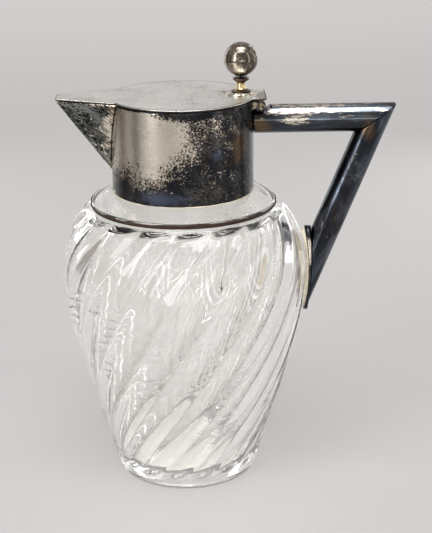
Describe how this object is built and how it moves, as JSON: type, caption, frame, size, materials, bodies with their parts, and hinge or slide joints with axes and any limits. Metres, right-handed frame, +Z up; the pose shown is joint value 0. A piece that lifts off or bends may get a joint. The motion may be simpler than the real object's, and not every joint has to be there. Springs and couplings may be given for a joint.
{
  "type": "wine jug",
  "caption": "Wine jug with a spiral-fluted glass body, plated collar with a beak spout, hinged flat lid with a ball thumb-piece, and an angular tube handle.",
  "frame": {"origin": "centre of the flat underside of the glass foot, on the jug's axis", "axes": "+Z up along the jug's axis, +X towards the handle, -X towards the spout, +Y along the hinge pin"},
  "size_m": [0.1915, 0.142, 0.2539],
  "materials": {
    "clear_glass": "clear moulded glass, polished",
    "tarnished_plate": "silver plate with blue-black tarnish, bright where it is worn",
    "worn_plate": "silver plate, polished and finely scratched",
    "brown_plate": "silver plate with brown tarnish, polished",
    "bare_brass": "brass where the plate has worn off",
    "plaster": "fine plaster cement"
  },
  "bodies": {
    "jug": {"glass_body": "clear_glass", "neck_plaster": "plaster", "collar_band": "tarnished_plate", "spout": "tarnished_plate", "handle_arm": "tarnished_plate", "handle_grip": "tarnished_plate", "handle_plate": "tarnished_plate", "plate_plaster": "plaster", "hinge_seat": "tarnished_plate", "collar_knuckle_1": "tarnished_plate", "collar_knuckle_2": "tarnished_plate", "collar_knuckle_3": "tarnished_plate", "hinge_pin": "bare_brass"},
    "lid": {"lid_plate": "worn_plate", "lid_knuckle_1": "worn_plate", "lid_knuckle_2": "worn_plate", "thumb_base": "worn_plate", "thumb_stem": "bare_brass", "thumb_ball": "brown_plate", "thumb_nut": "bare_brass"}
  },
  "joints": [
    {"name": "lid_hinge", "type": "hinge", "parent": "jug", "child": "lid", "pos_m": [0.0433, 0, 0.2205], "axis": [0, 1, 0], "range_deg": [0, 94]}
  ]
}
